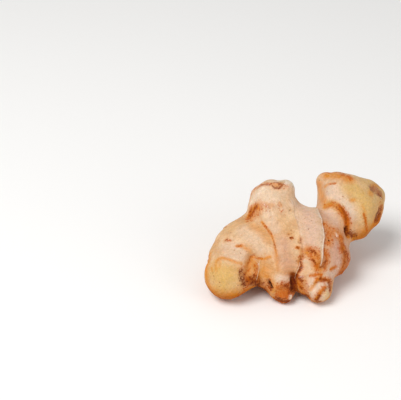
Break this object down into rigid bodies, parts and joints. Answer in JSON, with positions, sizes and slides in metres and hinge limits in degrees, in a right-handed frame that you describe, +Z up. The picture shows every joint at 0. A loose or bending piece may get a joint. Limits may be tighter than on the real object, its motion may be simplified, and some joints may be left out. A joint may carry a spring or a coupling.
{
  "type": "ginger root",
  "caption": "Fresh ginger root: a knobbly rhizome with a broad body, a rounded finger, a raised long finger, a stem stub and short buds, marked by ring scars. It lies on its low lobes.",
  "frame": {"origin": "on the table under the middle of the root's bounding box", "axes": "+X along the root towards the long finger's tip, -Y to the front where the short buds point, +Z up"},
  "size_m": [0.0967, 0.0626, 0.051],
  "materials": {
    "ginger_skin": "thin papery skin, pale tan with pinkish scale bands and brown ring scars"
  },
  "bodies": {
    "root": {"rhizome": "ginger_skin"}
  },
  "joints": []
}
